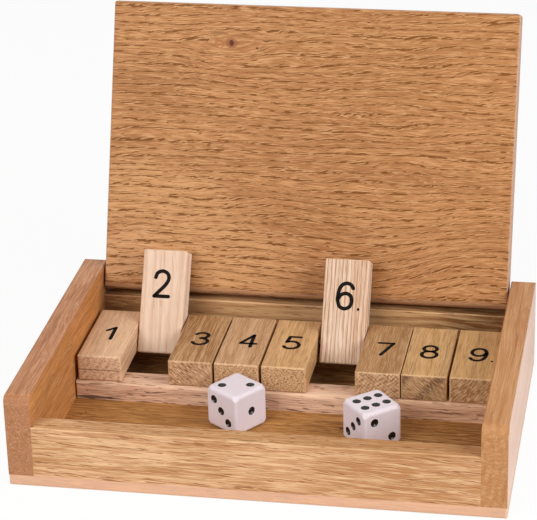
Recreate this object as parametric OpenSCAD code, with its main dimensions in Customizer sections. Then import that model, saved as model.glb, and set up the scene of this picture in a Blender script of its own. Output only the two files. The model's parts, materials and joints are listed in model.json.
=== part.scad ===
// Shut the box game: a shallow wooden box with nine numbered tiles on a rod, a hinged lid and two dice.
// Millimetres. The origin is the middle of the underside. +X is the player's right, +Y the back, +Z up.
// It is drawn as in play: the lid open, tiles 2 and 6 flipped up, the dice thrown.

/* [Box] */
// Width over the side walls
box_w = 180; // [165:1:200]
// Depth from front to back
box_d = 120; // [108:1:132]
// Thickness of the base board
base_t = 4.5; // [3:0.5:7]
// Height of the side walls above the base board
wall_h = 31.5; // [30:0.5:36]
// Thickness of the side walls
wall_t = 9.5; // [8:0.5:12]
// Height of the front and back boards above the base board
board_h = 19.7; // [19.2:0.1:21]
// Thickness of the front and back boards
board_t = 8.4; // [7.5:0.1:9.5]
// Radius of the side walls' front top corners
wall_front_r = 4; // [1.5:0.5:6]
// Radius of the side walls' back top corners
wall_back_r = 1.5; // [0.5:0.5:3]
// Radius of the base board's lower edges and corners
base_r = 1.2; // [0.4:0.1:2]
// Radius that eases the boards' long edges
edge_r = 0.6; // [0.2:0.1:1]

/* [Rest rail] */
// Width of the rail from front to back
rail_d = 10.5; // [8:0.5:13]
// Height of the rail
rail_h = 7.5; // [6.5:0.1:8.2]
// Radius of the rail's upper edges
rail_r = 1.4; // [0.4:0.1:2.5]
// Gap between each end of the rail and the wall
rail_gap = 0.4; // [0.2:0.1:1]

/* [Tiles] */
// Length of a tile
tile_l = 40.5; // [38:0.5:43]
// Thickness of a tile
tile_t = 10.4; // [9:0.1:11.2]
// Distance from the back of the box to the back ends of the lying tiles
tile_from_back = 18.2; // [17.4:0.1:22]
// Distance from the rail's face to the front ends of the lying tiles
tile_setback = 0.8; // [0:0.1:2]
// Gap between two tiles
tile_gap = 0.7; // [0.4:0.1:1.5]
// Gap between the outer tiles and the walls
tile_side_gap = 1; // [0.5:0.1:2]
// Gap under a lying tile
tile_rest_gap = 0.1; // [0.05:0.05:0.3]
// Gap between a flipped tile and the lid it leans on
tile_lean_gap = 0.4; // [0.2:0.1:1]
// Radius that eases a tile's edges
tile_r = 0.7; // [0.3:0.1:1.2]
// Radius of a tile's corners seen from above
tile_corner_r = 0.9; // [0.3:0.1:1.5]
// Distance from a tile's back end to the rod's axis
rod_from_end = 8; // [7.5:0.1:9]
// Diameter of the rod
rod_d = 3; // [2:0.5:4]
// Radial clearance of the rod in the tiles
rod_clear = 0.1; // [0.02:0.02:0.1]
// Radial clearance of the rod in the side walls
rod_seat_clear = 0.03; // [0.01:0.01:0.05]
// Depth of the rod's bores in the side walls
rod_seat = 5; // [3:0.5:7]

/* [Lid] */
// Distance from the front of the box to the free end of the closed lid, which leaves a ledge for a finger
lid_setback = 6; // [4:0.5:7]
// Thickness of the lid
lid_t = 11; // [10:0.1:11.2]
// Gap between the lid and each side wall
lid_side_gap = 0.7; // [0.3:0.1:1.2]
// Gap between the closed lid and the front and back boards
lid_rest_gap = 0.3; // [0.2:0.1:0.5]
// Radius of the hinge end's lower edge, which swings past the back board
lid_swing_r = 4; // [3.8:0.1:4.6]
// Radius of the hinge end's upper edge, which stops the open lid
lid_stop_r = 1; // [0.6:0.1:1.2]
// Gap that is left at the stop
lid_stop_gap = 0.1; // [0.05:0.05:0.2]
// Radius that eases the lid's other edges
lid_r = 0.9; // [0.4:0.1:1.5]
// Radius of the lid's corners seen from above
lid_corner_r = 1.4; // [0.5:0.1:3]
// Distance from the hinge end to the pins' axis
pin_from_end = 4.3; // [4.1:0.1:4.6]
// Diameter of the hinge pins
pin_d = 3; // [2:0.5:4]
// Radial clearance of the pins in the lid
pin_clear = 0.1; // [0.02:0.02:0.1]
// Radial clearance of the pins in the side walls
pin_seat_clear = 0.03; // [0.01:0.01:0.05]
// Depth of the pins' bores in the side walls
pin_seat = 5; // [3:0.5:7]
// Depth of the pins' bores in the lid
pin_grip = 9; // [6:0.5:14]
// Chamfer on the ends of the rod and the pins
pin_chamfer = 0.4; // [0.1:0.1:0.8]
// Gap between the end of a rod or pin and the bottom of its bore
pin_end_gap = 0.2; // [0.1:0.1:0.5]

/* [Dice] */
// Edge of a die
die_size = 16; // [12:0.5:18]
// Radius of a die's edges
die_r = 1.5; // [0.5:0.1:2.5]
// Radius of the ball that trims a die's corners, beyond half an edge
die_trim = 4.3; // [4:0.1:5.5]
// Gap under a die
die_rest_gap = 0.1; // [0.05:0.05:0.3]
// Diameter of a pip
pip_d = 3.3; // [2:0.1:3.6]
// Depth of a pip
pip_depth = 0.8; // [0.3:0.1:1]
// Distance of the outer pips from the middle of a face, each way
pip_spread = 3.7; // [3.2:0.1:4.4]
// Distance between the pips in a row of the six
pip_step = 4.6; // [4.2:0.1:4.8]
// Distance between the two rows of the six
pip_rows = 5.9; // [4:0.1:8.4]
// Left die: place from the box's centre line, to the right
die_left_x = -15.2; // [-60:0.1:-12]
// Left die: gap between it and the rail behind it
die_left_gap = 1; // [0.4:0.1:26]
// Left die: turn about the vertical, in degrees
die_left_turn = 54.2; // [0:0.1:90]
// Right die: place from the box's centre line, to the right
die_right_x = 36.4; // [12:0.1:60]
// Right die: gap between it and the rail behind it
die_right_gap = 7.3; // [0.4:0.1:26]
// Right die: turn about the vertical, in degrees
die_right_turn = 39.6; // [0:0.1:90]

/* [Hidden] */
$fn = 96;
over = 1;

tile_count = 9;
flipped_tiles = [2, 6];
// How far each tile has slid to the right along the rod, in shares of the gap between two tiles
tile_slides = [0.4, 0, 0, 0, 0.4, 1.1, 0.5, 0, 0.4];

inner_w = box_w - 2 * wall_t;
front_y = -box_d / 2;
back_y = box_d / 2;
board_top = base_t + board_h;
tile_end_y = back_y - tile_from_back;
rail_y = tile_end_y - tile_l - tile_setback;
rail_top = base_t + rail_h;

tile_w = (inner_w - 2 * tile_side_gap - (tile_count - 1) * tile_gap) / tile_count;
tile_pitch = tile_w + tile_gap;
rod_y = tile_end_y - rod_from_end;
rod_z = rail_top + tile_rest_gap + tile_t / 2;

lid_w = inner_w - 2 * lid_side_gap;
lid_l = box_d - lid_setback;
pin_y = back_y - pin_from_end;
pin_z = board_top + lid_rest_gap + lid_t / 2;

// The open lid leans back until the round of its upper edge meets the back board's top
stop_reach = [pin_from_end - lid_stop_r, lid_t / 2 - lid_stop_r];
stop_drop = pin_z - board_top - lid_stop_gap - lid_stop_r;
lid_lean = atan2(stop_reach.y, stop_reach.x) - acos(stop_drop / norm(stop_reach));

// A flipped tile leans back until the round of its free edge meets the lid's underside
lean_reach = [tile_l - rod_from_end - tile_r, tile_t / 2 - tile_r];
lid_normal = [-cos(lid_lean), sin(lid_lean)];
rod_to_lid = [rod_y - pin_y, rod_z - pin_z] * lid_normal;
lean_room = rod_to_lid - lid_t / 2 - tile_r - tile_lean_gap;
tile_lean = lid_lean + asin(lean_room / norm(lean_reach)) - atan2(lean_reach.y, lean_reach.x);

die_z = base_t + die_rest_gap + die_size / 2;
pip_ball_r = (pip_d * pip_d / 4 + pip_depth * pip_depth) / (2 * pip_depth);

// How far the upright edge of a turned die stands from the die's middle
function die_reach(turn) = die_r + (die_size / 2 - die_r) * (cos(turn) + sin(turn));

function tile_x(n) =
    -inner_w / 2 + tile_side_gap + (n - 1) * tile_pitch + tile_slides[n - 1] * tile_gap;

function is_flipped(n) = len(search(n, flipped_tiles)) > 0;

// Places of a face's pips from its middle; the six has two rows of three
function pip_spots(value, slant) =
    value == 6 ? [for (x = [-1, 0, 1], y = [-0.5, 0.5]) [x * pip_step, y * pip_rows]] : [
        for (spot = concat(
            value % 2 == 1 ? [[0, 0]] : [],
            value >= 2 ? [[-1, 1], [1, -1]] : [],
            value >= 4 ? [[1, 1], [-1, -1]] : []
        )) [slant * spot.x * pip_spread, spot.y * pip_spread]
    ];

// Rectangle from the origin with its own radius at each corner:
// [near the origin, along x, far from the origin, along y]
module soft_rect(size, radii) {
    corners = [[0, 0], [1, 0], [1, 1], [0, 1]];
    difference() {
        square(size);
        for (i = [0 : 3]) if (radii[i] > 0)
            translate([corners[i].x * (size.x - radii[i]), corners[i].y * (size.y - radii[i])])
                square(radii[i]);
    }
    for (i = [0 : 3]) if (radii[i] > 0)
        translate([
            corners[i].x == 0 ? radii[i] : size.x - radii[i],
            corners[i].y == 0 ? radii[i] : size.y - radii[i]
        ]) circle(radii[i]);
}

// Block from the origin with its own corner radii seen from above, from the front and from the right
module soft_block(size, above, front, side) {
    intersection() {
        linear_extrude(size.z) soft_rect([size.x, size.y], above);
        translate([0, size.y, 0]) rotate([90, 0, 0]) linear_extrude(size.y)
            soft_rect([size.x, size.z], front);
        rotate([90, 0, 90]) linear_extrude(size.x) soft_rect([size.y, size.z], side);
    }
}

// Round bar along X, centred on the origin, with chamfered ends
module cross_bar(diameter, length) {
    r = diameter / 2;
    translate([-length / 2, 0, 0]) rotate([0, 90, 0]) rotate_extrude() polygon([
        [0, 0], [r - pin_chamfer, 0], [r, pin_chamfer],
        [r, length - pin_chamfer], [r - pin_chamfer, length], [0, length]
    ]);
}

// Bore along X that starts at the origin and runs towards +X
module cross_bore(diameter, depth) {
    rotate([0, 90, 0]) cylinder(d = diameter, h = depth);
}

module base_board() {
    color("#cf9c70") translate([-box_w / 2, front_y, 0])
        soft_block(
            [box_w, box_d, base_t],
            [base_r, base_r, base_r, base_r],
            [base_r, base_r, 0, 0],
            [base_r, base_r, 0, 0]
        );
}

// Right wall, standing on the base board, with the blind bores for the rod and the lid's pin
module side_wall() {
    difference() {
        translate([inner_w / 2, front_y, base_t])
            soft_block(
                [wall_t, box_d, wall_h],
                [0, edge_r, edge_r, 0],
                [0, 0, edge_r, edge_r],
                [0, 0, wall_back_r, wall_front_r]
            );
        translate([inner_w / 2 - over, rod_y, rod_z])
            cross_bore(rod_d + 2 * rod_seat_clear, rod_seat + over);
        translate([inner_w / 2 - over, pin_y, pin_z])
            cross_bore(pin_d + 2 * pin_seat_clear, pin_seat + over);
    }
}

module right_wall() {
    color("#c99a6c") side_wall();
}

module left_wall() {
    color("#c08a63") mirror([1, 0, 0]) side_wall();
}

// Board between the walls, with its long upper edges eased
module cross_board() {
    soft_block(
        [inner_w, board_t, board_h],
        [0, 0, 0, 0],
        [0, 0, 0, 0],
        [0, 0, edge_r, edge_r]
    );
}

module front_board() {
    color("#e0b177") translate([-inner_w / 2, front_y, base_t]) cross_board();
}

module back_board() {
    color("#a97c50") translate([-inner_w / 2, back_y - board_t, base_t]) cross_board();
}

module rest_rail() {
    color("#c99a78") translate([-inner_w / 2 + rail_gap, rail_y, base_t])
        soft_block(
            [inner_w - 2 * rail_gap, rail_d, rail_h],
            [edge_r, edge_r, edge_r, edge_r],
            [0, 0, edge_r, edge_r],
            [0, 0, rail_r, rail_r]
        );
}

// Tile on the rod, with the rod's axis at the origin and the free end towards -Y
module tile_shape() {
    r = [tile_r, tile_r, tile_r, tile_r];
    c = [tile_corner_r, tile_corner_r, tile_corner_r, tile_corner_r];
    difference() {
        translate([0, rod_from_end - tile_l, -tile_t / 2]) soft_block([tile_w, tile_l, tile_t], c, r, r);
        translate([-over, 0, 0]) cross_bore(rod_d + 2 * rod_clear, tile_w + 2 * over);
    }
}

module tile(n) {
    turn = is_flipped(n) ? -90 - tile_lean : 0;
    shade = is_flipped(n) ? "#ecccae" : "#cfa273";
    color(shade) translate([tile_x(n), rod_y, rod_z]) rotate([turn, 0, 0]) tile_shape();
}

module tile_rod() {
    color("#b9bcc0") translate([0, rod_y, rod_z])
        cross_bar(rod_d, inner_w + 2 * (rod_seat - pin_end_gap));
}

// Lid as it lies closed, with the pins' axis at the origin and the free end towards -Y
module lid_shape() {
    difference() {
        translate([-lid_w / 2, pin_from_end - lid_l, -lid_t / 2])
            soft_block(
                [lid_w, lid_l, lid_t],
                [lid_corner_r, lid_corner_r, lid_corner_r, lid_corner_r],
                [lid_r, lid_r, lid_r, lid_r],
                [lid_r, lid_swing_r, lid_stop_r, lid_r]
            );
        for (side = [0, 1]) mirror([side, 0, 0])
            translate([lid_w / 2 - pin_grip, 0, 0])
                cross_bore(pin_d + 2 * pin_clear, pin_grip + over);
    }
}

module lid() {
    color("#c98d5c") translate([0, pin_y, pin_z]) rotate([-90 - lid_lean, 0, 0]) lid_shape();
}

// Right hinge pin, from the bottom of the wall's bore to the bottom of the lid's bore
module hinge_pin() {
    inner_end = lid_w / 2 - pin_grip + pin_end_gap;
    outer_end = inner_w / 2 + pin_seat - pin_end_gap;
    translate([(inner_end + outer_end) / 2, pin_y, pin_z]) cross_bar(pin_d, outer_end - inner_end);
}

module lid_pin_right() {
    color("#b9bcc0") hinge_pin();
}

module lid_pin_left() {
    color("#b9bcc0") mirror([1, 0, 0]) hinge_pin();
}

// Die centred on the origin. faces holds the values on top, towards -X and towards -Y,
// and opposite faces add up to seven. slant turns over the pattern of the face towards -X.
module die(faces, slant) {
    r = [die_r, die_r, die_r, die_r];
    half = die_size / 2;
    turns = [[0, 0, 0], [0, -90, 0], [90, 0, 0], [180, 0, 0], [0, 90, 0], [-90, 0, 0]];
    values = concat(faces, [for (value = faces) 7 - value]);
    difference() {
        intersection() {
            translate([-half, -half, -half]) soft_block([die_size, die_size, die_size], r, r, r);
            sphere(half + die_trim);
        }
        for (i = [0 : 5]) rotate(turns[i])
            for (spot = pip_spots(values[i], i == 1 ? slant : 1))
                translate([spot.x, spot.y, half - pip_depth + pip_ball_r])
                    sphere(pip_ball_r, $fn = 48);
    }
}

module die_left() {
    color("#f3ece9")
        translate([die_left_x, rail_y - die_left_gap - die_reach(die_left_turn), die_z])
        rotate([0, 0, die_left_turn]) die([2, 3, 1], -1);
}

module die_right() {
    color("#f3ece9")
        translate([die_right_x, rail_y - die_right_gap - die_reach(die_right_turn), die_z])
        rotate([0, 0, die_right_turn]) die([6, 3, 2], 1);
}

base_board();
left_wall();
right_wall();
front_board();
back_board();
rest_rail();
tile(1);  // tile_1
tile(2);  // tile_2
tile(3);  // tile_3
tile(4);  // tile_4
tile(5);  // tile_5
tile(6);  // tile_6
tile(7);  // tile_7
tile(8);  // tile_8
tile(9);  // tile_9
tile_rod();
lid();
lid_pin_left();
lid_pin_right();
die_left();
die_right();
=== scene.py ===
import json
import math
import bpy
from mathutils import Matrix, Vector


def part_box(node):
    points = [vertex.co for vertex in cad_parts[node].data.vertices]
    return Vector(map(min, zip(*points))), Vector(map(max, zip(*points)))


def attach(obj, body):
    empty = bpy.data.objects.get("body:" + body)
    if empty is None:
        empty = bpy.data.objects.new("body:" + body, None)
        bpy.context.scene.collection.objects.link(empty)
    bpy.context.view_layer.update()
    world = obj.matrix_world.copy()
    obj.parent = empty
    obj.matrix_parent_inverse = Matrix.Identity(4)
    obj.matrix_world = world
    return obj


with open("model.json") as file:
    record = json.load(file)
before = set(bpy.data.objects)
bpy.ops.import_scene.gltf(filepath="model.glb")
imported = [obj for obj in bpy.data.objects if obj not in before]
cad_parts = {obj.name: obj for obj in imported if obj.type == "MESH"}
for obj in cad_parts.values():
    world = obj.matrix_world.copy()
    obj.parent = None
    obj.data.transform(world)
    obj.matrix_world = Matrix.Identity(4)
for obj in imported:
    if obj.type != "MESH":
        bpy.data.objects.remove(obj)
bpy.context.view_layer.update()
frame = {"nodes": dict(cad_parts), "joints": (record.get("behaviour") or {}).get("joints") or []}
print("frame loaded:", len(frame["nodes"]), "nodes")

# Shut the box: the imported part's woods, ink and dice, with its table, lamps and camera.
# Lengths in the dictionaries are millimetres and angles degrees; Blender's own are metres and radians.
mm = 0.001
joints = {joint["name"]: joint for joint in frame["joints"]}
flippedTiles = [2, 6]
tileCount = 9
white = (1, 1, 1, 1)
noiseMiddle = 0.5
noiseBulk = (0.3, 0.7)                         # nearly all of a noise's values lie between them
noiseDetail = {                                # how many layers of detail, and how strong the finer ones are
    "bend": (2, 0.5),
    "tone": (3, 0.55),
    "streak": (3, 0.55),
    "fibre": (2, 0.6),
    "ray": (2, 0.6),
    "pore": (1, 0.5),
    "tear": (3, 0.5),
    "metal": (3, 0.5),
    "speck": (3, 0.5),
    "cloud": (3, 0.5),
    "paper": (4, 0.5),
}


def colour(code):                              # "#rrggbb" as the linear colour that Blender wants
    parts = [int(code[i:i + 2], 16) / 255 for i in (1, 3, 5)]
    linear = [p / 12.92 if p <= 0.04045 else ((p + 0.055) / 1.055) ** 2.4 for p in parts]
    return (*linear, 1)


def middle(node):
    low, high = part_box(node)
    return (low + high) / 2


def turned(degrees, axis):
    return Matrix.Rotation(math.radians(degrees), 4, axis)


def hingePlace(joint, opened, x=0):            # a hinged piece's own frame, carried to where it is drawn
    spot = Vector(joints[joint]["pos_m"])
    spot.x = x
    angle = -joints[joint]["range_deg"][1] if opened else 0
    return Matrix.Translation(spot) @ turned(angle, "X")


def tilePlace(number):
    return hingePlace(f"tile_{number}_flip", number in flippedTiles, middle(f"tile_{number}").x)


def dress(node, material):
    frame["nodes"][node].material_slots[0].material = material


class Recipe:                                  # nodes added one at a time to a material or a world
    def __init__(self, tree):
        self.tree = tree
        self.where = self.add("TexCoord", {})

    def fill(self, node, inputs):
        for name, value in inputs.items():
            if isinstance(value, bpy.types.NodeSocket):
                self.tree.links.new(value, node.inputs[name])
            else:
                node.inputs[name].default_value = value

    def add(self, kind, inputs, **settings):
        node = self.tree.nodes.new("ShaderNode" + kind)
        for name, value in settings.items():
            setattr(node, name, value)
        self.fill(node, inputs)
        return node

    def maths(self, operation, *values):
        return self.add("Math", dict(enumerate(values)), operation=operation).outputs[0]

    def vectors(self, operation, *values):
        node = self.add("VectorMath", dict(enumerate(values)), operation=operation)
        return node.outputs["Value" if operation in ("LENGTH", "DOT_PRODUCT") else "Vector"]

    def scaled(self, vector, share):
        return self.add("VectorMath", {0: vector, "Scale": share}, operation="SCALE").outputs[0]

    def parts(self, vector):
        return self.add("SeparateXYZ", {0: vector}).outputs

    def ramp(self, value, start, end, first=0, last=1):          # eases from first to last
        inputs = {"Value": value, "From Min": start, "From Max": end, "To Min": first, "To Max": last}
        return self.add("MapRange", inputs, interpolation_type="SMOOTHSTEP").outputs[0]

    def mix(self, share, first, second):
        return self.add("Mix", {0: share, 6: first, 7: second}, data_type="RGBA").outputs[2]

    def noise(self, vector, kind, output=0):
        detail, rough = noiseDetail[kind]
        inputs = {"Vector": vector, "Scale": 1, "Detail": detail, "Roughness": rough}
        return self.add("TexNoise", inputs).outputs[output]

    def local(self, place):                    # the scene's metres as a piece's own millimetres
        spot, turn = place.decompose()[:2]
        inputs = {
            "Vector": self.where.outputs["Object"],
            "Location": spot,
            "Rotation": turn.to_euler(),
            "Scale": (mm, mm, mm),
        }
        return self.add("Mapping", inputs, vector_type="TEXTURE").outputs[0]

    def stretched(self, vector, along, across):
        return self.vectors("MULTIPLY", vector, (1 / along, 1 / across, 1 / across))

    def seenRays(self):                        # 1 for what is seen straight, in a gloss or through glass
        ray = self.add("LightPath", {}).outputs
        glossy = self.maths("MAXIMUM", ray["Is Glossy Ray"], ray["Is Transmission Ray"])
        return self.maths("MAXIMUM", ray["Is Camera Ray"], glossy)


def newMaterial(name):
    material = bpy.data.materials.new(name)
    material.use_nodes = True
    return material, Recipe(material.node_tree), material.node_tree.nodes["Principled BSDF"]


# What every wood has; each piece names only what differs. Its x runs along the grain, y across the
# face that shows most and z through it. A share is how much of a colour shows, and a reach is how
# far from the middle of the noise it shows in full.
plainWood = {
    "pale": "#cf9c6c",                         # the ground goes from pale to deep
    "deep": "#bb8558",
    "light": "#ecc596",                        # brightest streaks and fibres
    "dark": "#8f5c33",                         # darkest streaks and fibres
    "pore": "#5f3a1e",
    "seed": 0,                                 # which part of the noise the board is cut from
    "bendLength": 70,
    "bendWidth": 16,
    "bend": 5,                                 # how far the grain wanders
    "toneLength": 60,
    "toneWidth": 7,
    "toneReach": 0.15,
    "pith": (-160, -90),                       # centre of the growth rings, in y and z
    "ringStep": 3.0,
    "ringShare": 0.3,
    "ringSoft": 0.45,                          # up to 0.45; the smaller, the narrower a dark ring
    "ringCore": 0.05,
    "streakLength": 26,
    "streakWidth": 1.9,
    "streakReach": 0.13,                       # the smaller, the sharper
    "streakShare": 0.3,
    "fibreLength": 11,
    "fibreWidth": 0.8,
    "fibreShare": 0.4,
    "fibreReach": 0.16,
    "poreLength": 5.5,
    "poreWidth": 0.85,
    "poreTilt": 0.07,
    "poreSoft": 0.05,
    "poreRow": 0.3,                            # part of a ring that is crowded with pores
    "rowSoft": 0.08,
    "rowPore": 0.52,                           # in that part; the lower, the more pores
    "loosePore": 0.64,                         # in the rest of the ring
    "poreShare": 0.75,
    "poreHighlightShift": 0.65,                          # painted highlight beside a pore
    "poreHighlightShare": 0.2,
    "roughness": (0.45, 0.58),                 # in the dullest fibres and in the others
    "gloss": 0.2,
    "poreDepth": 0.8,
    "fibreRise": 0.35,
    "relief": 0.4,
    "reliefHeight": 0.25,
    "end": "#b48a68",                          # end grain
    "endShare": 0.7,
    "endRings": 0.3,
    "endFibres": 0.35,
    "rayLength": 2.4,                          # rays run from the pith outwards
    "rayWidth": 0.6,
    "rayShare": 0.7,
    "rayReach": 0.12,
    "edge": "#e6bf95",                         # rounded edges: rubbed wear and painted highlight
    "edgeShare": 0.35,
    "edgeTurn": (0.97, 0.85),                  # where the edge colour starts and is full; 1 faces squarely
    "endTurn": (0.6, 0.9),                     # the same for end grain
    "sideTurn": (0.5, 0.9),                    # the same for a side of another colour
    "patches": [],                             # wide, soft changes of tone under the grain; on some pieces painted light and shade
    "sides": [],                               # faces of another colour: which way, colour and share; on some pieces painted light
    "smoothSides": [],                         # the same for planed faces that show little grain, and for a painted reflection
    "knots": [],                               # the grain opens round them
    "swirls": [],                              # the grain climbs in them
    "stains": [],                              # spots on top of the grain
}
seedStep = (31.7, 17.3, 23.9)
knotFade = (1.1, 0.7)                          # pores thin out between these shares of its clear patch
stainEdge = {"tear": 1.4, "tearShare": 0.4, "hollowSoft": 0.25}


def sideTinted(wood, base, turn, sides, look):
    for way, code, share in sides:
        toward = wood.vectors("DOT_PRODUCT", wood.where.outputs["Normal"], tuple(turn @ Vector(way)))
        base = wood.mix(wood.ramp(toward, *look["sideTurn"], 0, share), base, colour(code))
    return base


def fromSpot(wood, here, spot, size):          # the way from a spot, in mm and as a share of a size
    away = wood.vectors("SUBTRACT", here, (*spot, 0))
    return away, wood.vectors("MULTIPLY", away, (1 / size[0], 1 / size[1], 0))


def bent(wood, here, place):                   # the grain opens round a knot, or climbs in a swirl
    away, reach = fromSpot(wood, here, place["spot"], place["reach"])
    distance = wood.vectors("LENGTH", reach)
    fade = wood.maths("EXPONENT", wood.maths("MULTIPLY", wood.maths("POWER", distance, 2), -1))
    push = wood.vectors("DOT_PRODUCT", away, (place.get("climb", 0), place.get("open", 0), 0))
    shift = wood.add("CombineXYZ", {1: wood.maths("MULTIPLY", push, fade)}).outputs[0]
    return wood.vectors("SUBTRACT", here, shift)


def knotNear(wood, here, knot):
    reach = fromSpot(wood, here, knot["spot"], knot["clear"])[1]
    return wood.ramp(wood.vectors("LENGTH", reach), *knotFade)


def stained(wood, base, here, stain):          # a soft-edged spot of another colour, or a ring of it
    reach = fromSpot(wood, here, stain["spot"], stain["size"])[1]
    tear = (stainEdge["tear"], stainEdge["tear"], 0)
    torn = wood.noise(wood.vectors("MULTIPLY_ADD", reach, tear, (*stain["spot"], 0)), "tear")
    most = stainEdge["tearShare"] * stain["soft"]
    distance = wood.maths("ADD", wood.vectors("LENGTH", reach), wood.ramp(torn, *noiseBulk, -most, most))
    share = wood.ramp(distance, 1, 1 - stain["soft"])
    if "hollow" in stain:
        inner = wood.ramp(distance, stain["hollow"] - stainEdge["hollowSoft"], stain["hollow"])
        share = wood.maths("MULTIPLY", share, inner)
    return wood.mix(wood.maths("MULTIPLY", share, stain["share"]), base, colour(stain["colour"]))


def grained(wood, flow, look, mark, output=0):                   # noise as long and wide as a mark
    return wood.noise(wood.stretched(flow, look[mark + "Length"], look[mark + "Width"]), mark, output)


def lightAndDark(wood, base, pattern, reach, share, look):       # both sides of a pattern's middle
    low = wood.maths("MULTIPLY", wood.ramp(pattern, noiseMiddle, noiseMiddle - reach), share)
    high = wood.maths("MULTIPLY", wood.ramp(pattern, noiseMiddle, noiseMiddle + reach), share)
    return wood.mix(high, wood.mix(low, base, colour(look["light"])), colour(look["dark"]))


def pored(wood, spot, threshold, look):
    return wood.ramp(wood.maths("SUBTRACT", wood.noise(spot, "pore"), threshold), 0, look["poreSoft"])


def makeWood(name, piecePlace, **changes):
    look = dict(plainWood, **changes)
    material, wood, shader = newMaterial(name)
    here = wood.local(piecePlace)
    grain = here
    for place in look["knots"] + look["swirls"]:
        grain = bent(wood, grain, place)
    moved = wood.vectors("ADD", grain, tuple(look["seed"] * step for step in seedStep))
    wander = grained(wood, moved, look, "bend", "Color")
    wanderSize = (0, 2 * look["bend"], 2 * look["bend"])
    flow = wood.vectors("MULTIPLY_ADD", wander, wanderSize, moved)
    ringFlow = wood.vectors("MULTIPLY_ADD", wander, wanderSize, grain)

    normal = wood.where.outputs["Normal"]
    turn = piecePlace.to_3x3()
    facing = [wood.maths("ABSOLUTE", wood.vectors("DOT_PRODUCT", normal, tuple(way))) for way in turn.col]
    ends = wood.ramp(facing[0], *look["endTurn"])                # 1 on the end grain

    # The ground, and its wide changes
    tone = grained(wood, flow, look, "tone")
    deepness = wood.ramp(tone, noiseMiddle - look["toneReach"], noiseMiddle + look["toneReach"])
    base = wood.mix(deepness, colour(look["pale"]), colour(look["deep"]))
    for patch in look["patches"]:
        base = stained(wood, base, here, patch)
    base = sideTinted(wood, base, turn, look["sides"], look)
    base = wood.mix(wood.maths("MULTIPLY", ends, look["endShare"]), base, colour(look["end"]))

    # Growth rings
    fromPith = wood.vectors("SUBTRACT", ringFlow, (0, *look["pith"]))
    radius = wood.vectors("LENGTH", wood.vectors("MULTIPLY", fromPith, (0, 1, 1)))
    ring = wood.maths("FRACT", wood.maths("DIVIDE", radius, look["ringStep"]))
    row = wood.maths("ABSOLUTE", wood.maths("SUBTRACT", ring, 0.5))      # 0 in the middle of a dark ring
    ringShare = wood.ramp(ends, 0, 1, look["ringShare"], look["endRings"])
    shade = wood.maths("MULTIPLY", wood.ramp(row, look["ringSoft"], look["ringCore"]), ringShare)
    base = wood.mix(shade, base, colour(look["dark"]))

    # Streaks and fibres, and the rays of an end
    streak = grained(wood, flow, look, "streak")
    base = lightAndDark(wood, base, streak, look["streakReach"], look["streakShare"], look)
    fibre = grained(wood, flow, look, "fibre")
    fibreShare = wood.ramp(ends, 0, 1, look["fibreShare"], look["endFibres"])
    base = lightAndDark(wood, base, fibre, look["fibreReach"], fibreShare, look)
    spot = wood.parts(fromPith)
    turns = wood.maths("ARCTAN2", spot[1], spot[2])
    around = wood.maths("MULTIPLY", turns, Vector(look["pith"]).length / look["rayWidth"])
    outward = wood.maths("DIVIDE", radius, look["rayLength"])
    rays = wood.noise(wood.add("CombineXYZ", {0: around, 1: outward}).outputs[0], "ray")
    rayShare = wood.maths("MULTIPLY", ends, look["rayShare"])
    base = lightAndDark(wood, base, rays, look["rayReach"], rayShare, look)

    # Pores, each with a painted highlight beside it
    slope = wood.maths("MULTIPLY", wood.parts(flow)[0], look["poreTilt"])
    slant = wood.add("CombineXYZ", {1: slope}).outputs[0]
    tilted = wood.stretched(wood.vectors("ADD", flow, slant), look["poreLength"], look["poreWidth"])
    crowd = wood.ramp(row, look["poreRow"] / 2 + look["rowSoft"], look["poreRow"] / 2)
    threshold = wood.ramp(crowd, 0, 1, look["loosePore"], look["rowPore"])
    for knot in look["knots"]:
        threshold = wood.maths("ADD", threshold, knotNear(wood, here, knot))
    poreHighlight = pored(wood, wood.vectors("ADD", tilted, (0, look["poreHighlightShift"], 0)), threshold, look)
    base = wood.mix(wood.maths("MULTIPLY", poreHighlight, look["poreHighlightShare"]), base, colour(look["light"]))
    pore = pored(wood, tilted, threshold, look)
    base = wood.mix(wood.maths("MULTIPLY", pore, look["poreShare"]), base, colour(look["pore"]))

    # What lies over the grain
    base = sideTinted(wood, base, turn, look["smoothSides"], look)
    for stain in look["stains"]:
        base = stained(wood, base, here, stain)
    if "seam" in look:                         # where two layers are glued together
        off = wood.maths("ABSOLUTE", wood.maths("SUBTRACT", wood.parts(here)[2], look["seam"]))
        base = wood.mix(wood.ramp(off, *look["seamSides"], 0, look["seamShare"]), base, colour(look["pore"]))
    # Rounded edges take the edge colour: rubbed wear with painted highlight, and on the walls painted shade
    flattest = wood.maths("MAXIMUM", wood.maths("MAXIMUM", facing[0], facing[1]), facing[2])
    base = wood.mix(wood.ramp(flattest, *look["edgeTurn"], 0, look["edgeShare"]), base, colour(look["edge"]))

    rise = wood.maths("MULTIPLY", fibre, look["fibreRise"])
    height = wood.maths("MULTIPLY_ADD", pore, -look["poreDepth"], rise)
    reliefInputs = {"Height": height, "Strength": look["relief"], "Distance": look["reliefHeight"] * mm}
    wood.fill(shader, {
        "Base Color": base,
        "Roughness": wood.ramp(fibre, *noiseBulk, *look["roughness"]),
        "Specular IOR Level": look["gloss"],
        "Normal": wood.add("Bump", reliefInputs).outputs[0],
    })
    return material


alongX = Matrix.Identity(4)                    # grain from left to right, the face on top
standing = turned(90, "X")                     # grain from left to right, the face in front
alongY = turned(90, "Z")                       # grain from front to back, the face on top

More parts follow.
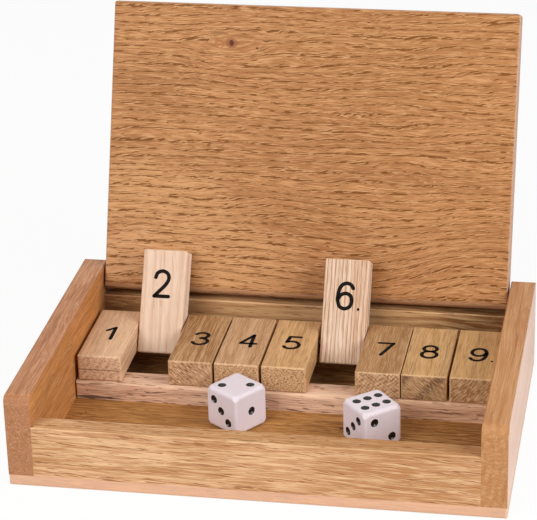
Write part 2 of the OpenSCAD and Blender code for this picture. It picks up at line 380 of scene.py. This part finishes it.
lidKnot = (-32.3, -94.6)                       # a dark knot and the pale ring beside it
lidEye = (-37.2, -93.8)
lidLook = {
    "pale": "#b07a4b",
    "deep": "#a06b3e",
    "light": "#ce9d6d",
    "dark": "#85542b",
    "pore": "#6f3e04",
    "seed": 3,
    "pith": (-400, -60),
    "ringStep": 3.2,
    "ringShare": 0.25,
    "poreRow": 0.18,
    "streakShare": 0.12,
    "poreLength": 4.4,
    "poreWidth": 0.46,
    "poreTilt": 0.1,
    "rowPore": 0.49,
    "loosePore": 0.65,
    "poreShare": 0.95,
    "poreHighlightShare": 0.35,
    "fibreLength": 7,
    "fibreWidth": 0.45,
    "fibreShare": 0.5,
    "edge": "#dcb8a0",
    "edgeShare": 0.2,
    "knots": [{"spot": lidKnot, "reach": (17, 7.5), "open": 0.8, "clear": (9, 3.6)}],
    "swirls": [{"spot": (46, -13), "reach": (36, 15), "climb": -0.28}],
    "patches": [
        # The first two lighten the low left near the hinge: painted light over the shade there.
        {"spot": (-52, -14), "size": (70, 48), "colour": "#c4905f", "share": 0.9, "soft": 1.0},
        {"spot": (-68, -8), "size": (34, 20), "colour": "#d6a273", "share": 0.5, "soft": 1.0},
        {"spot": (32, -96), "size": (76, 40), "colour": "#a06c3d", "share": 0.6, "soft": 1.0},
    ],
    "stains": [
        {"spot": (-37.9, -98.3), "size": (4.2, 1.4), "colour": "#7d522b", "share": 0.6, "soft": 0.7},
        {"spot": lidKnot, "size": (3.0, 2.4), "colour": "#8a4c2a", "share": 0.75, "soft": 0.3},
        {"spot": lidKnot, "size": (1.3, 1.4), "colour": "#451a12", "share": 0.9, "soft": 0.4},
        {"spot": lidEye, "size": (2, 2), "colour": "#9c5f35", "share": 0.8, "soft": 0.25, "hollow": 0.72},
        {"spot": lidEye, "size": (0.5, 0.5), "colour": "#9c5f35", "share": 0.7, "soft": 0.5},
        {"spot": (-22.8, -94.4), "size": (2.2, 1.6), "colour": "#a15f35", "share": 0.5, "soft": 0.6},
        {"spot": (-22.1, -92.9), "size": (0.5, 0.5), "colour": "#3a1710", "share": 1.0, "soft": 0.4},
        {"spot": (48.8, -84.3), "size": (1.0, 0.7), "colour": "#8c4f2c", "share": 0.7, "soft": 0.6},
    ],
    "sides": [((0, -1, 0), "#c39b85", 0.9)],
    "smoothSides": [((1, 0, 0), "#bb9784", 0.7), ((0, -1, 0), "#bf9883", 0.5)],
}
boardLooks = {
    "front_board": {
        "pale": "#cca178",
        "deep": "#ae7e51",
        "light": "#e2bd92",
        "dark": "#a87048",
        "seed": 2,
        "ringShare": 0.15,
        "toneLength": 30,
        "toneWidth": 5,
        "bend": 2,
        "streakLength": 18,
        "streakWidth": 1.2,
        "streakReach": 0.09,
        "streakShare": 0.38,
        "fibreWidth": 0.38,
        "fibreShare": 0.5,
        "pore": "#8a542a",
        "poreLength": 7,
        "poreWidth": 0.42,
        "rowPore": 0.58,
        "poreShare": 0.8,
        "patches": [
            {"spot": (58, 16), "size": (40, 22), "colour": "#ab7a4c", "share": 0.8, "soft": 1.0},
        ],
        "sides": [((0, 1, 0), "#d09d68", 0.65)],
        "stains": [
            {"spot": (45, 26), "size": (105, 4.8), "colour": "#935f2e", "share": 0.36, "soft": 0.6},
        ],
        "edgeShare": 0.2,
    },
    "back_board": {
        "pale": "#c79866",
        "deep": "#b58557",
        "light": "#dcb280",
        "streakLength": 40,
        "streakShare": 0.4,
        "fibreLength": 20,
        "rowPore": 0.62,
        "loosePore": 0.7,
        "poreShare": 0.5,
        "patches": [
            # painted shade: darker towards both ends, darkest at the right, lighter in the middle
            {"spot": (0, 27), "size": (50, 40), "colour": "#cfa274", "share": 0.8, "soft": 1.0},
            {"spot": (-80, 27), "size": (40, 40), "colour": "#9c6d42", "share": 0.8, "soft": 1.0},
            {"spot": (80, 27), "size": (50, 40), "colour": "#704926", "share": 1.0, "soft": 1.0},
        ],
    },
    "rest_rail": {
        "pale": "#ebc4a7",
        "deep": "#dcb295",
        "ringShare": 0.12,
        "bend": 2,
        "toneWidth": 4,
        "light": "#ebc9ac",
        "dark": "#8f6350",
        "streakLength": 50,
        "streakWidth": 1.2,
        "streakShare": 0.18,
        "fibreLength": 10,
        "fibreWidth": 0.36,
        "fibreShare": 0.6,
        "rowPore": 0.58,
        "loosePore": 0.66,
        "poreShare": 0.7,
        "patches": [
            # the right end darker: painted shade by the right wall
            {"spot": (72, 5), "size": (50, 20), "colour": "#dcac86", "share": 0.8, "soft": 1.0},
        ],
        "stains": [
            {"spot": (-72, 5.4), "size": (13, 1.4), "colour": "#3f2819", "share": 0.8, "soft": 0.8},
        ],
    },
}
baseLook = {
    "pale": "#b98147",
    "deep": "#a8723c",
    "light": "#d3a064",
    "dark": "#6f4520",
    "seed": 4,
    "streakLength": 40,
    "fibreShare": 0.6,
    "fibreWidth": 0.4,
    "rowPore": 0.6,
    "loosePore": 0.7,
    "poreShare": 0.5,
    "ringShare": 0.2,
    "end": "#dcb5a0",
    "endShare": 0.9,
    "endRings": 0.1,
    "endFibres": 0.15,
    "rayShare": 0.12,
    "smoothSides": [
        ((0, -1, 0), "#d8ae94", 0.7), ((0, 1, 0), "#d8ae94", 0.7),
        ((-1, 0, 0), "#dcb8a4", 0.6), ((1, 0, 0), "#dcb8a4", 0.6),
    ],
    "patches": [
        # painted shade: the channel under the tiles made dark
        {"spot": (0, 32), "size": (110, 29), "colour": "#4a2f1d", "share": 0.8, "soft": 0.15},
        # the floor by the right wall darker: partly darker wood, partly painted shadow of the right wall and
        # front board
        {"spot": (78, -10), "size": (46, 30), "colour": "#83542b", "share": 0.8, "soft": 1.0},
    ],
    "stains": [
        {"spot": (24.5, -10.3), "size": (1.8, 0.9), "colour": "#2b180c", "share": 0.9, "soft": 0.6},
        {"spot": (-73.8, -10.1), "size": (0.7, 0.5), "colour": "#3a2110", "share": 0.8, "soft": 0.6},
    ],
}
dress("lid", makeWood("lid oak", hingePlace("lid_hinge", True), **lidLook))
dress("base_board", makeWood("base oak", alongX, **baseLook))
for node, look in boardLooks.items():
    dress(node, makeWood(node.replace("_", " ") + " oak", standing, **look))

wallLooks = {
    "left_wall": {
        "pale": "#c68c66",
        "deep": "#b87f5a",
        "light": "#dba87e",
        "dark": "#96603a",
        "seed": 5,
        "fibreLength": 16,
        "fibreWidth": 0.36,
        "streakLength": 50,
        "streakShare": 0.1,
        "fibreShare": 0.5,
        "end": "#855636",
        "endRings": 0.1,
        "endFibres": 0.3,
        "rayLength": 1.2,
        "rayWidth": 0.35,
        "rayShare": 0.2,
        # darker rounded edges: painted shade over the rounds' highlight, with rubbed wear
        "edge": "#96623c",
        "edgeShare": 0.45,
        "patches": [{"spot": (58, 85), "size": (40, 40), "colour": "#d3a07c", "share": 0.7, "soft": 1.0}],
        "rowPore": 0.62,
        "loosePore": 0.7,
        "poreShare": 0.25,
        # its inner face tinted orange: painted light bounced inside the box
        "sides": [((0, -1, 0), "#ce8b42", 0.8)],
        "stains": [
            {"spot": (-8, 86.5), "size": (24, 2.4), "colour": "#8f5840", "share": 0.4, "soft": 0.8},
        ],
    },
    "right_wall": {
        "pale": "#c69265",
        "deep": "#bb8558",
        "light": "#ddb485",
        "dark": "#a06739",
        "seed": 7,
        "bend": 2,
        "fibreLength": 20,
        "fibreWidth": 0.45,
        "fibreShare": 0.3,
        "streakLength": 50,
        "streakShare": 0.15,
        "end": "#a27144",
        "endRings": 0.5,
        "endFibres": 0.15,
        "rayShare": 0.15,
        # darker rounded edges: painted shade over the rounds' highlight, with rubbed wear
        "edge": "#a87548",
        "edgeShare": 0.45,
        "pith": (-30, 26),
        "rowPore": 0.66,
        "loosePore": 0.74,
        "poreShare": 0.25,
        # its outer side pale pink, on both lines: painted reflection of the white surroundings at a grazing
        # angle
        "sides": [((0, -1, 0), "#dcbfb0", 0.9)],
        "smoothSides": [((0, -1, 0), "#dabdae", 0.5)],
        "stains": [
            {"spot": (8, -86.9), "size": (10, 0.5), "colour": "#8f4328", "share": 0.5, "soft": 0.6},
        ],
    },
}
for node, look in wallLooks.items():
    dress(node, makeWood(node.replace("_", " ") + " oak", alongY, **look))
print("box and lid dressed")

tanTile = {
    "pale": "#cca078",
    "deep": "#bb9068",
    "light": "#dfb98f",
    "dark": "#8b623c",
    "end": "#c99d75",
    "bend": 1.5,
    "ringStep": 2.2,
    "ringShare": 0.14,
    "toneWidth": 4,
    "streakLength": 40,
    "streakWidth": 0.9,
    "streakShare": 0.08,
    "fibreLength": 8,
    "fibreWidth": 0.34,
    "fibreShare": 0.45,
    "poreLength": 8,
    "poreWidth": 0.6,
    "rowPore": 0.6,
    "loosePore": 0.68,
    "poreShare": 0.25,
    "rayLength": 0.9,
    "rayWidth": 0.38,
    "rayShare": 0.9,
    "endFibres": 0.45,
}
# Flipped tiles: the sides entry makes their right sides paler, as painted light.
paleTile = dict(
    tanTile, pale="#dcc0a8", deep="#d2b298", light="#ead2ba", dark="#b98a6c", pore="#b98c6e", end="#c9a07c",
    fibreShare=0.35, poreShare=0.35, sides=[((0, -1, 0), "#fbe5d0", 0.85)],
)
tileLooks = {
    1: {
        "pale": "#efc8a4", "deep": "#e2b993", "dark": "#a87c58", "poreShare": 0.12, "end": "#f5cfb6",
        "endFibres": 0.3, "rayLength": 1.6, "seam": -0.6, "seamSides": (0.35, 0.1), "seamShare": 0.6,
    },
    2: {
        "dark": "#c59679", "fibreShare": 0.2, "pith": (-100, 30), "ringStep": 3.2, "ringShare": 0.35,
        "ringSoft": 0.3,
    },
    3: {
        "pale": "#ab7d52", "deep": "#976b42", "streakShare": 0.4, "pith": (-30, -26), "ringStep": 8,
        "ringSoft": 0.3, "endRings": 0.6, "end": "#d2a486", "rayLength": 2.5, "endFibres": 0.4,
    },
    4: {"pale": "#d2a983"},
    5: {"pale": "#dbad77", "deep": "#c99b69", "streakShare": 0.3, "endRings": 0.0, "endFibres": 0.9},
    6: {
        "dark": "#9a6a45", "pith": (-200, 20), "ringStep": 1.5, "ringShare": 0.75, "ringSoft": 0.25,
        "bend": 1.8, "bendWidth": 8, "streakShare": 0.3,
        # its right side lighter: painted light
        "patches": [{"spot": (-15, -7), "size": (60, 8), "colour": "#c9a284", "share": 0.8, "soft": 1.0}],
    },
    7: {
        "pale": "#b2865c", "deep": "#a0774e", "pith": (60, -60), "ringStep": 1.3, "ringShare": 0.1,
        "endRings": 0.7, "end": "#d4ae8c", "rayLength": 3, "endFibres": 0.25,
    },
    8: {
        "pale": "#d6aa76", "deep": "#c59962", "dark": "#6f4c32", "pith": (-30, -26), "ringStep": 9,
        "ringSoft": 0.3, "endRings": 0.8, "end": "#a9835f", "rayLength": 3, "rayShare": 0.6,
        "endFibres": 0.2,
    },
    9: {
        "pale": "#e6b97c", "deep": "#d5a770", "pith": (-60, 80), "endRings": 0.4, "end": "#aa825e",
        "rayLength": 3, "endFibres": 0.2,
    },
}
for number in range(1, tileCount + 1):
    look = dict(paleTile if number in flippedTiles else tanTile, **tileLooks[number])
    place = tilePlace(number) @ alongY
    dress(f"tile_{number}", makeWood(f"tile {number} wood", place, seed=number, **look))
print("tiles dressed")

steelLook = {
    "dark": "#4d4946",
    "pale": "#66615d",
    "lineLength": 12,
    "lineWidth": 0.3,
    "roughness": (0.42, 0.58),
}


def makeSteel():
    look = steelLook
    material, steel, shader = newMaterial("drawn steel")
    lines = steel.noise(steel.stretched(steel.local(alongX), look["lineLength"], look["lineWidth"]), "metal")
    steel.fill(shader, {
        "Base Color": steel.mix(lines, colour(look["dark"]), colour(look["pale"])),
        "Metallic": 1,
        "Roughness": steel.ramp(lines, *noiseBulk, *look["roughness"]),
    })
    return material


steelMaterial = makeSteel()
for node in ("tile_rod", "lid_pin_left", "lid_pin_right"):
    dress(node, steelMaterial)

inkLook = {
    "fresh": "#110f0d",
    "worn": "#2b211a",
    "specks": 2.5,                             # to the millimetre
    "wornBetween": (0.5, 0.75),
}


def makeInk(name, look):                       # the numerals and the pips have their own gloss
    material, ink, shader = newMaterial(name)
    specks = ink.noise(ink.scaled(ink.local(alongX), inkLook["specks"]), "speck")
    wear = ink.ramp(specks, *inkLook["wornBetween"])
    ink.fill(shader, {
        "Base Color": ink.mix(wear, colour(inkLook["fresh"]), colour(inkLook["worn"])),
        "Roughness": look["inkRoughness"],
        "Specular IOR Level": look["inkGloss"],
    })
    return material


numeralLook = {
    "height": 11.3,
    "stroke": 1.45,
    "rise": 0.04,                              # of the ink over the wood
    "topPlace": 0.49,                          # its middle, as a share of the tile from the free end
    "underPlace": 0.31,
    "dot": 1.1,
    "dotAcross": 83,
    "bend": 8,                                 # pieces between two points of a curve
    "dotSteps": 20,
    "capSteps": 8,
    "inkRoughness": 0.8,
    "inkGloss": 0.1,
}
# Stamped by hand: how far each one is right of and above its place, as it is read
numeralShifts = {
    1: (-0.5, 0.2), 2: (-0.5, -0.8), 3: (0.5, 0), 4: (1.4, 0.5), 5: (0.1, 1.0), 6: (0, -1.7), 7: (0.2, 0.2),
    9: (0.4, 0),
}
# Strokes of each numeral in hundredths of its height; more than two points make a curve
fullHeight = 100
sixAcross = 57
numeralStrokes = {
    1: [[(6, 73), (34, 100)], [(34, 100), (34, 0)]],
    2: [[(2, 74), (9, 92), (29, 100), (49, 91), (55, 71), (44, 47), (22, 23), (0, 0)], [(0, 0), (57, 0)]],
    3: [
        [(3, 86), (14, 97), (30, 100), (47, 93), (52, 77), (44, 61), (25, 55)],
        [(25, 55), (47, 48), (57, 28), (48, 8), (27, 0), (9, 5), (0, 18)],
    ],
    4: [[(42, 100), (0, 27)], [(0, 27), (60, 27)], [(42, 100), (42, 0)]],
    5: [
        [(54, 100), (13, 100)],
        [(13, 100), (6, 54)],
        [(6, 54), (26, 61), (47, 53), (57, 31), (48, 8), (26, 0), (8, 5), (0, 17)],
    ],
    6: [[
        (59, 81), (50, 94), (33, 100), (15, 92), (4, 72), (0, 45), (1, 28), (9, 8), (28, 0),
        (48, 9), (56, 31), (49, 52), (31, 60), (12, 53), (1, 36),
    ]],
    7: [[(0, 100), (56, 100)], [(56, 100), (18, 0)]],
    8: [
        [(28, 54), (48, 62), (53, 78), (45, 94), (28, 100), (11, 94), (3, 78), (8, 62), (28, 54)],
        [(28, 54), (49, 46), (57, 27), (49, 8), (28, 0), (7, 8), (0, 27), (7, 46), (28, 54)],
    ],
}
numeralStrokes[9] = [[(sixAcross - x, fullHeight - y) for x, y in numeralStrokes[6][0]]]
dottedNumerals = [6, 9]


def curved(points, pieces):                    # a smooth line through the points
    if len(points) == 2:
        return [Vector(p) for p in points]
    closed = points[0] == points[-1]
    spots = [Vector(p) for p in points]
    before = spots[-2] if closed else 2 * spots[0] - spots[1]
    after = spots[1] if closed else 2 * spots[-1] - spots[-2]
    spots = [before] + spots + [after]
    line = []
    for a, b, c, d in zip(spots, spots[1:], spots[2:], spots[3:]):
        for step in range(pieces):
            t = step / pieces
            square = (2 * a - 5 * b + 4 * c - d) * t * t
            cube = (3 * b - 3 * c + d - a) * t ** 3
            line.append(0.5 * (2 * b + (c - a) * t + square + cube))
    return line + [spots[-2]]


class Sheet:                                   # faces collected into one mesh
    def __init__(self):
        self.points = []
        self.faces = []

    def face(self, corners):
        start = len(self.points)
        self.points += corners
        self.faces.append(list(range(start, start + len(corners))))

    def slab(self, outline, rise):             # a flat outline with a top and sides
        top = [Vector((p[0], p[1], rise)) for p in outline]
        foot = [Vector((p[0], p[1], 0)) for p in outline]
        self.face(top)
        for i in range(len(outline)):
            j = (i + 1) % len(outline)
            self.face([foot[i], foot[j], top[j], top[i]])

    def carry(self, start, place):             # moves the points from start on
        self.points[start:] = [place @ p for p in self.points[start:]]

    def toObject(self, name, material):
        mesh = bpy.data.meshes.new(name)
        mesh.from_pydata(self.points, [], self.faces)
        mesh.validate()
        mesh.materials.append(material)
        piece = bpy.data.objects.new(name, mesh)
        bpy.context.scene.collection.objects.link(piece)
        return piece


def arc(centre, radius, start, end, steps):
    angles = [math.radians(start + (end - start) * i / steps) for i in range(steps + 1)]
    return [centre + radius * Vector((math.cos(a), math.sin(a))) for a in angles]


def strokeOutline(line, width):                # both sides of a line and its round ends
    half = width / 2
    left, right = [], []
    for i, spot in enumerate(line):
        way = (line[min(i + 1, len(line) - 1)] - line[max(i - 1, 0)]).normalized()
        side = Vector((-way.y, way.x)) * half
        left.append(spot + side)
        right.append(spot - side)
    caps = []
    for tip, before in ((line[0], line[1]), (line[-1], line[-2])):
        way = math.degrees(math.atan2(tip.y - before.y, tip.x - before.x))
        caps.append(arc(tip, half, way - 90, way + 90, numeralLook["capSteps"]))
    return left, right, caps


def addNumeral(sheet, number, place):          # the numeral drawn around the origin of place
    look = numeralLook
    start = len(sheet.points)
    size = (look["height"] - look["stroke"]) / fullHeight
    strokes = numeralStrokes[number]
    across = [p[0] for stroke in strokes for p in stroke]
    centre = Vector(((min(across) + max(across)) / 2, fullHeight / 2))
    for stroke in strokes:
        line = [(p - centre) * size for p in curved(stroke, look["bend"])]
        left, right, caps = strokeOutline(line, look["stroke"])
        for i in range(len(line) - 1):
            sheet.slab([right[i], right[i + 1], left[i + 1], left[i]], look["rise"])
        for cap in caps:
            sheet.slab(cap, look["rise"])
    if number in dottedNumerals:
        spot = (Vector((look["dotAcross"], 0)) - centre) * size
        dot = arc(spot, look["dot"] / 2, 0, 360, look["dotSteps"])[:-1]
        sheet.slab(dot, look["rise"])
    sheet.carry(start, place @ Matrix.Scale(mm, 4))


def numeralPlaces(number):                     # on a lying tile's top and on the face a flipped one shows
    low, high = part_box("tile_1")
    length, thickness = high.y - low.y, high.z - low.z
    freeEnd = low.y - joints["tile_1_flip"]["pos_m"][1]
    shift = Matrix.Translation(Vector((*numeralShifts.get(number, (0, 0)), 0)) * mm)
    topSpot = (0, freeEnd + numeralLook["topPlace"] * length, thickness / 2)
    underSpot = (0, freeEnd + numeralLook["underPlace"] * length, -thickness / 2)
    top = Matrix.Translation(topSpot)
    under = Matrix.Translation(underSpot) @ turned(180, "X")
    return [tilePlace(number) @ top @ shift, tilePlace(number) @ under @ shift]


numeralInk = makeInk("numeral ink", numeralLook)
for number in range(1, tileCount + 1):
    sheet = Sheet()
    for place in numeralPlaces(number):
        addNumeral(sheet, number, place)
    numeral = sheet.toObject(f"numerals_{number}", numeralInk)
    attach(numeral, f"tile_{number}")
print("numerals inked")

diceLook = {
    "pale": "#e6dce1",
    "deep": "#ddd0d6",
    "cloud": 0.22,                             # to the millimetre
    "roughness": (0.5, 0.58),
    "gloss": 0.12,
    "glow": 0.15,                              # share of the light that goes in and comes out again
    "glowReach": (1.2, 0.8, 0.8),
    "size": 16,
    "pipAcross": 3.3,
    "pipDepth": 0.8,
    "pipSpread": 3.7,                          # from the middle of a face, both ways
    "sixStep": 4.6,
    "sixRows": 5.9,
    "inkGap": 0.01,                            # between the ink and the bottom of its hollow
    "inkThick": 0.03,
    "inkFill": 0.97,                           # share of the hollow's curve that is inked
    "inkRoughness": 0.2,
    "inkGloss": 0.5,
    "rings": 6,
    "around": 24,
}
faceSum = 7                                    # opposite faces add up to it
leftSide = 1                                   # the face whose slanting pips differ between the dice
diceFaces = {                                  # values on top, to the left and in front, and the turn
    "die_left": {"values": (2, 3, 1), "slant": -1, "turn": 54.2},
    "die_right": {"values": (6, 3, 2), "slant": 1, "turn": 39.6},
}
faceTurns = [                                  # those three and then the faces opposite
    Matrix.Identity(4), turned(-90, "Y"), turned(90, "X"),
    turned(180, "X"), turned(90, "Y"), turned(-90, "X"),
]


def makeDicePlastic():
    look = diceLook
    material, plastic, shader = newMaterial("dice plastic")
    cloud = plastic.noise(plastic.scaled(plastic.local(alongX), look["cloud"]), "cloud")
    plastic.fill(shader, {
        "Base Color": plastic.mix(cloud, colour(look["pale"]), colour(look["deep"])),
        "Roughness": plastic.ramp(cloud, *noiseBulk, *look["roughness"]),
        "Specular IOR Level": look["gloss"],
        "Subsurface Weight": look["glow"],
        "Subsurface Radius": tuple(reach * mm for reach in look["glowReach"]),
        "Subsurface Scale": 1,
    })
    return material


def pipSpots(value, slant):                    # from the middle of the face; the six has two rows of three
    look = diceLook
    if value == 6:
        return [(x * look["sixStep"], y * look["sixRows"] / 2) for x in (-1, 0, 1) for y in (-1, 1)]
    spots = [(0, 0)] if value % 2 else []
    if value >= 2:
        spots += [(-1, 1), (1, -1)]
    if value >= 4:
        spots += [(1, 1), (-1, -1)]
    return [(slant * x * look["pipSpread"], y * look["pipSpread"]) for x, y in spots]


def addPip(sheet, place):                      # a thin bowl of ink, its rim round the origin
    look = diceLook
    ball = (look["pipAcross"] ** 2 / 4 + look["pipDepth"] ** 2) / (2 * look["pipDepth"])
    rim = math.asin(look["pipAcross"] / 2 / ball)
    centre = Vector((0, 0, ball - look["pipDepth"]))
    start = len(sheet.points)

    def spot(radius, ring, step):
        down = rim * look["inkFill"] * ring / look["rings"]
        turn = 2 * math.pi * step / look["around"]
        flat = math.sin(down)
        return centre + radius * Vector((flat * math.cos(turn), flat * math.sin(turn), -math.cos(down)))

    outer = ball - look["inkGap"]
    inner = outer - look["inkThick"]
    for step in range(look["around"]):
        for ring in range(look["rings"]):
            for radius in (inner, outer):
                corners = [spot(radius, ring, step), spot(radius, ring + 1, step)]
                corners.append(spot(radius, ring + 1, step + 1))
                if ring:
                    corners.append(spot(radius, ring, step + 1))
                sheet.face(corners if radius == inner else corners[::-1])
        last = look["rings"]
        sheet.face([
            spot(inner, last, step), spot(outer, last, step),
            spot(outer, last, step + 1), spot(inner, last, step + 1),
        ])
    sheet.carry(start, place @ Matrix.Scale(mm, 4))


dicePlastic = makeDicePlastic()
pipInk = makeInk("pip paint", diceLook)
for node, die in diceFaces.items():
    dress(node, dicePlastic)
    sheet = Sheet()
    values = list(die["values"]) + [faceSum - value for value in die["values"]]
    diePlace = Matrix.Translation(middle(node)) @ turned(die["turn"], "Z")
    for side, (value, turn) in enumerate(zip(values, faceTurns)):
        for x, y in pipSpots(value, die["slant"] if side == leftSide else 1):
            rimPlace = Matrix.Translation(Vector((x, y, diceLook["size"] / 2)) * mm)
            addPip(sheet, diePlace @ turn @ rimPlace)
    pips = sheet.toObject(node + "_pips", pipInk)
    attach(pips, node)
print("dice finished")

tableLook = {
    "size": 8000,
    "paper": "#f7f6f5",
    "shade": "#f3f2f1",
    "grain": 0.05,                             # to the millimetre
    "roughness": 0.9,
    "gloss": 0.1,
    "glow": 0.93,                              # share of plain white in what the camera sees
    "drop": 0.02,                              # under the box
}


def makePaper():
    look = tableLook
    material, paper, shader = newMaterial("white paper")
    grain = paper.noise(paper.scaled(paper.local(alongX), look["grain"]), "paper")
    paper.fill(shader, {
        "Base Color": paper.mix(grain, colour(look["paper"]), colour(look["shade"])),
        "Roughness": look["roughness"],
        "Specular IOR Level": look["gloss"],
    })
    light = paper.add("Emission", {"Color": white, "Strength": 1})
    share = paper.maths("MULTIPLY", paper.seenRays(), look["glow"])
    both = paper.add("MixShader", {0: share, 1: shader.outputs[0], 2: light.outputs[0]})
    paper.fill(paper.tree.nodes["Material Output"], {"Surface": both.outputs[0]})
    return material


half = tableLook["size"] * mm / 2
tableSheet = Sheet()
tableSheet.face([Vector((x * half, y * half, 0)) for x, y in ((-1, -1), (1, -1), (1, 1), (-1, 1))])
table = tableSheet.toObject("table", makePaper())
table.location.z = -tableLook["drop"] * mm

skyLook = {"strength": 0.34, "seen": 1}        # the light it gives, and how bright it is seen


def makeSky():
    world = bpy.data.worlds.new("studio")
    world.use_nodes = True
    sky = Recipe(world.node_tree)
    strength = sky.ramp(sky.seenRays(), 0, 1, skyLook["strength"], skyLook["seen"])
    sky.fill(world.node_tree.nodes["Background"], {"Color": white, "Strength": strength})
    return world


bpy.context.scene.world = makeSky()

lampLooks = {
    "keyLamp": {"place": (590, -290, 410), "size": 420, "power": 3.9},
    "fillLamp": {"place": (-380, -620, 520), "size": 600, "power": 5.2},
}
lampAim = Vector((0, 0, 40)) * mm


def addLamp(name, look):
    lamp = bpy.data.lights.new(name, "AREA")
    lamp.shape = "SQUARE"
    lamp.size = look["size"] * mm
    lamp.energy = look["power"]
    piece = bpy.data.objects.new(name, lamp)
    piece.location = Vector(look["place"]) * mm
    piece.rotation_euler = (lampAim - piece.location).to_track_quat("-Z", "Y").to_euler()
    bpy.context.scene.collection.objects.link(piece)


for name, look in lampLooks.items():
    addLamp(name, look)

cameraLook = {
    "place": (145.85, -781.2, 431.36),
    "turn": (65.388, 1.429, 10.191),
    "lens": 160.15,
    "sensor": 36,
    "near": 50,
    "far": 50000,
}


def addCamera():
    look = cameraLook
    camera = bpy.data.cameras.new("camera")
    camera.lens = look["lens"]
    camera.sensor_width = look["sensor"]
    camera.clip_start = look["near"] * mm
    camera.clip_end = look["far"] * mm
    piece = bpy.data.objects.new("camera", camera)
    piece.location = Vector(look["place"]) * mm
    piece.rotation_euler = [math.radians(a) for a in look["turn"]]
    bpy.context.scene.collection.objects.link(piece)
    bpy.context.scene.camera = piece


addCamera()
bpy.context.scene.view_settings.view_transform = "Standard"
print("table, lamps and camera set")

bpy.context.view_layer.update()
